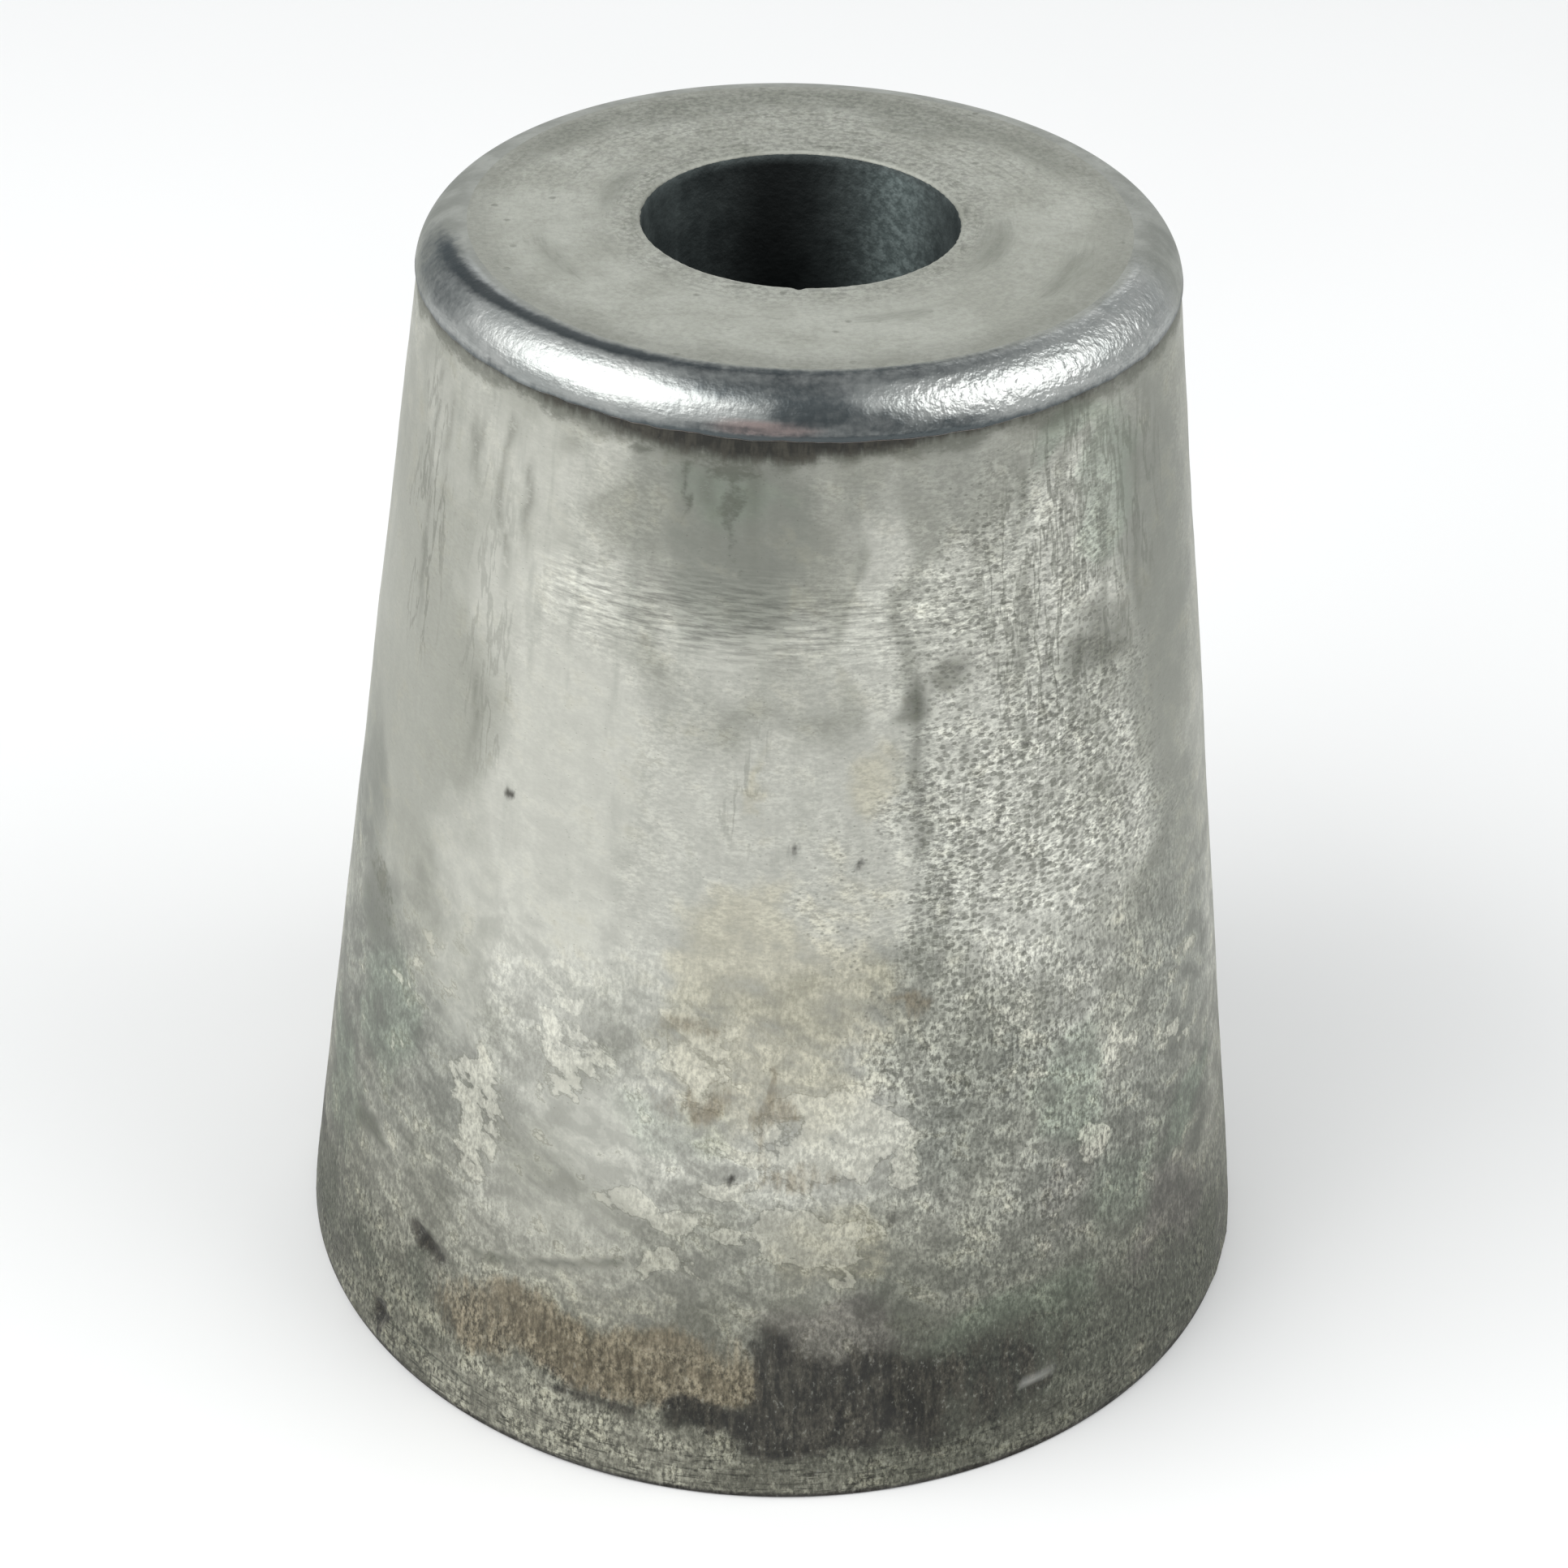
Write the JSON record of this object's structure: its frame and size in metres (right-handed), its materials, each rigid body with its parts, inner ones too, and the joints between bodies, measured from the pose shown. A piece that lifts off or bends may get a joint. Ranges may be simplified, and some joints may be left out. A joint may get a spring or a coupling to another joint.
{
  "type": "tapered sacrificial anode",
  "caption": "Tapered zinc anode with a polished rounded rim, screwed to the nut at the end of a boat's propeller shaft so that it corrodes in the propeller's place.",
  "frame": {"origin": "centre of the base, the wide flat face that bears on the propeller nut", "axes": "+Z along the bore from the base to the narrow end; the piece is round about it, and two corners of the bush's hexagon lie on Y"},
  "size_m": [0.0514, 0.0514, 0.058],
  "materials": {
    "zinc": "matte",
    "bush_steel": "satin"
  },
  "bodies": {
    "root": {"anode_casting": "zinc", "screw_seat_bush": "bush_steel"}
  },
  "joints": []
}
